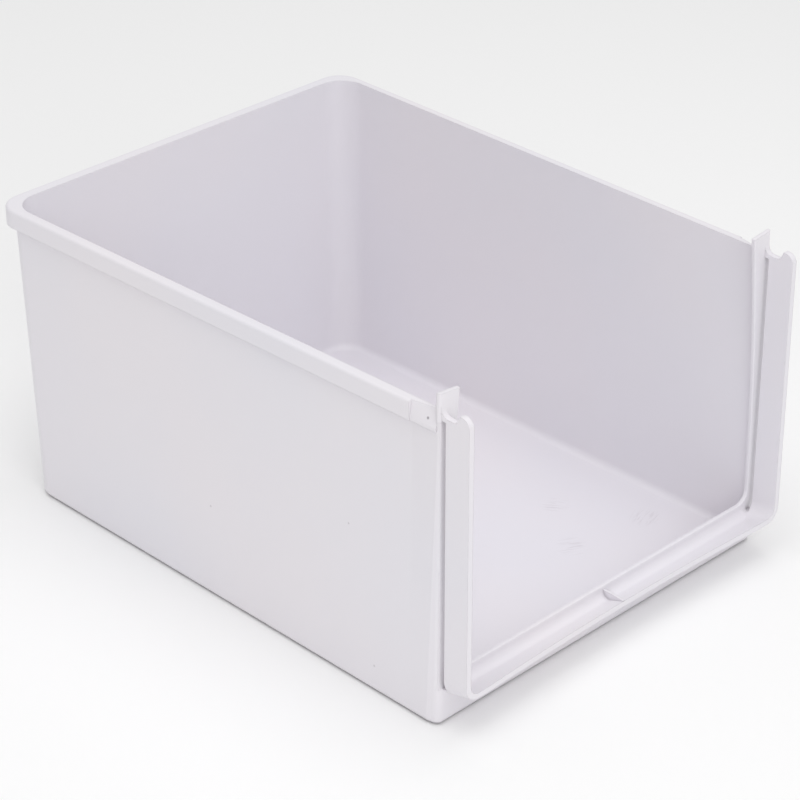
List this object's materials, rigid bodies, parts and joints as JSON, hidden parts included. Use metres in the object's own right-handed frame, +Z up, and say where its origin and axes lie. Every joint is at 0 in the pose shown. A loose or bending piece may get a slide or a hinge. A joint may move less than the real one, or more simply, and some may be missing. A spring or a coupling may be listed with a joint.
{
  "type": "refrigerator crisper drawer body",
  "caption": "Open-topped moulded drawer body with an outward rim to slide on, a low front sill and a U-shaped collar with ears that carries a front panel.",
  "frame": {"origin": "centre of the overall box seen from above, at the height of the underside of the floor", "axes": "+X across the drawer to its right, -Y towards the open front with the collar, +Z up"},
  "size_m": [0.2506, 0.339, 0.1849],
  "materials": {
    "moulding": "satin gloss, opaque white with a faint cool tint"
  },
  "bodies": {
    "root": {"drawer": "moulding"}
  },
  "joints": []
}
